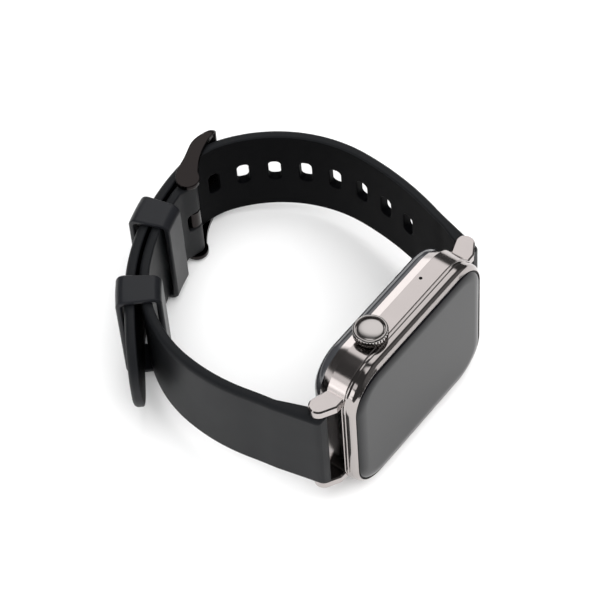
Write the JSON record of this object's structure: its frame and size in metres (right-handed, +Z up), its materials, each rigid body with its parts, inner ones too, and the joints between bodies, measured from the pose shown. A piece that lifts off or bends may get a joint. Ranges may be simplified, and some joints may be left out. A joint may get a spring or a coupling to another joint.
{
  "type": "smartwatch",
  "caption": "Smartwatch with a rounded rectangular metal case, a turning push crown and a buckled silicone strap with two keepers.",
  "frame": {"origin": "middle of the floor of the bounding box, with the watch resting on its side, crown up", "axes": "+Z up and within six degrees of the direction the crown points, +X towards the six o'clock end, -Y out of the display"},
  "size_m": [0.0732, 0.0736, 0.0398],
  "materials": {
    "case_metal": "satin titanium grey, fine blasted",
    "case_polished": "polished titanium grey",
    "crown_metal": "polished titanium grey",
    "glass": "polished dark glass",
    "gasket": "matt",
    "display": "dark, switched off",
    "flex": "amber film",
    "chassis": "moulded",
    "board": "solder mask",
    "chips": "moulded",
    "steel": "plain",
    "battery": "foil",
    "back_plastic": "gloss dark grey",
    "sensor_glass": "polished dark glass",
    "leds": "clear",
    "contacts": "gold plated",
    "magnets": "nickel plated",
    "silicone": "matt moulded silicone",
    "buckle_metal": "gloss gunmetal coating"
  },
  "bodies": {
    "case": {"mid_frame": "case_metal", "bezel_ring": "case_polished", "cover_glass": "glass", "display_gasket": "gasket", "display_panel": "display", "display_flex": "flex", "inner_chassis": "chassis", "main_board": "board", "board_screws": "steel", "board_shield": "steel", "board_chips": "chips", "battery": "battery", "vibration_motor": "steel", "speaker": "chassis", "microphone": "steel", "back_cover": "back_plastic", "back_gasket": "gasket", "sensor_window": "sensor_glass", "sensor_board": "board", "sensor_leds": "leds", "charge_contacts": "contacts", "charge_magnets": "magnets", "crown_tube": "steel", "crown_spring": "steel", "crown_switch": "chassis", "twelve_bar": "steel", "twelve_bar_spring": "steel", "six_bar": "steel", "six_bar_spring": "steel"},
    "crown_button": {"crown_plunger": "steel"},
    "crown": {"crown_stem": "steel", "crown_knob": "crown_metal", "crown_cap": "crown_metal", "crown_oring": "gasket", "crown_clip": "steel"},
    "long_root": {"long_strap_root": "silicone"},
    "band": {"long_strap": "silicone", "short_strap": "silicone"},
    "short_root": {"short_strap_root": "silicone"},
    "keeper_near_buckle": {"keeper_near_buckle": "silicone"},
    "keeper_near_tip": {"keeper_near_tip": "silicone"},
    "buckle": {"buckle_frame": "buckle_metal", "buckle_bar": "steel", "buckle_bar_spring": "steel"},
    "tongue": {"buckle_tongue": "buckle_metal"},
    "twelve_bar_tip_crown_side": {"twelve_bar_tip_crown_side": "steel"},
    "twelve_bar_tip_far_side": {"twelve_bar_tip_far_side": "steel"},
    "six_bar_tip_crown_side": {"six_bar_tip_crown_side": "steel"},
    "six_bar_tip_far_side": {"six_bar_tip_far_side": "steel"},
    "buckle_bar_tip_crown_side": {"buckle_bar_tip_crown_side": "steel"},
    "buckle_bar_tip_far_side": {"buckle_bar_tip_far_side": "steel"}
  },
  "joints": [
    {"name": "crown_press", "type": "slide", "parent": "case", "child": "crown_button", "axis": [0, -0.0981, -0.9952], "range_m": [0, 0.0003], "stiffness_N_per_m": 3000, "springref_m": -0.0005, "deforming": ["crown_spring"]},
    {"name": "crown_turn", "type": "hinge", "parent": "crown_button", "child": "crown", "pos_m": [-0.00696, -0.02727, 0.03944], "axis": [0, 0.0981, 0.9952], "continuous": true},
    {"name": "strap_sway", "type": "hinge", "parent": "case", "child": "long_root", "pos_m": [0.02744, -0.02892, 0.0186], "axis": [0, 0.0981, 0.9952], "range_deg": [-8, 8], "stiffness_Nm_per_rad": 0.25},
    {"name": "long_strap_flex", "type": "hinge", "parent": "long_root", "child": "band", "pos_m": [0.03234, -0.0138, 0.01711], "axis": [0, 0.0981, 0.9952], "range_deg": [-8, 8]},
    {"name": "short_strap_flex", "type": "hinge", "parent": "band", "child": "short_root", "pos_m": [-0.02736, -0.01579, 0.0173], "axis": [0, 0.0981, 0.9952], "range_deg": [-8.2, 8.2]},
    {"name": "keeper_near_buckle_slide", "type": "hinge", "parent": "band", "child": "keeper_near_buckle", "pos_m": [0.01319, -0.02176, 0.01789], "axis": [0, 0.0981, 0.9952], "range_deg": [-4.5, 8]},
    {"name": "keeper_near_tip_slide", "type": "hinge", "parent": "band", "child": "keeper_near_tip", "pos_m": [0.01319, -0.02176, 0.01789], "axis": [0, 0.0981, 0.9952], "range_deg": [-6, 0]},
    {"name": "buckle_pivot", "type": "hinge", "parent": "band", "child": "buckle", "pos_m": [0.00814, 0.02979, 0.01281], "axis": [0, 0.0981, 0.9952], "range_deg": [0, 2.5]},
    {"name": "tongue_pivot", "type": "hinge", "parent": "buckle", "child": "tongue", "pos_m": [0.00814, 0.02979, 0.01281], "axis": [0, 0.0981, 0.9952], "range_deg": [0, 1.5]},
    {"name": "twelve_bar_tip_crown_side_press", "type": "slide", "parent": "case", "child": "twelve_bar_tip_crown_side", "axis": [0, -0.0981, -0.9952], "range_m": [0, 0.0009], "stiffness_N_per_m": 300, "springref_m": -0.002, "deforming": ["twelve_bar_spring"]},
    {"name": "twelve_bar_tip_far_side_press", "type": "slide", "parent": "case", "child": "twelve_bar_tip_far_side", "axis": [0, 0.0981, 0.9952], "range_m": [0, 0.0009], "stiffness_N_per_m": 300, "springref_m": -0.002, "deforming": ["twelve_bar_spring"]},
    {"name": "six_bar_tip_crown_side_press", "type": "slide", "parent": "case", "child": "six_bar_tip_crown_side", "axis": [0, -0.0981, -0.9952], "range_m": [0, 0.0009], "stiffness_N_per_m": 300, "springref_m": -0.002, "deforming": ["six_bar_spring"]},
    {"name": "six_bar_tip_far_side_press", "type": "slide", "parent": "case", "child": "six_bar_tip_far_side", "axis": [0, 0.0981, 0.9952], "range_m": [0, 0.0009], "stiffness_N_per_m": 300, "springref_m": -0.002, "deforming": ["six_bar_spring"]},
    {"name": "buckle_bar_tip_crown_side_press", "type": "slide", "parent": "buckle", "child": "buckle_bar_tip_crown_side", "axis": [0, -0.0981, -0.9952], "range_m": [0, 0.0009], "stiffness_N_per_m": 300, "springref_m": -0.002, "deforming": ["buckle_bar_spring"]},
    {"name": "buckle_bar_tip_far_side_press", "type": "slide", "parent": "buckle", "child": "buckle_bar_tip_far_side", "axis": [0, 0.0981, 0.9952], "range_m": [0, 0.0009], "stiffness_N_per_m": 300, "springref_m": -0.002, "deforming": ["buckle_bar_spring"]}
  ],
  "couplings": [
    {"joint": "long_strap_flex", "follows": "strap_sway", "ratio": -0.8606},
    {"joint": "short_strap_flex", "follows": "strap_sway", "ratio": 0.996}
  ]
}
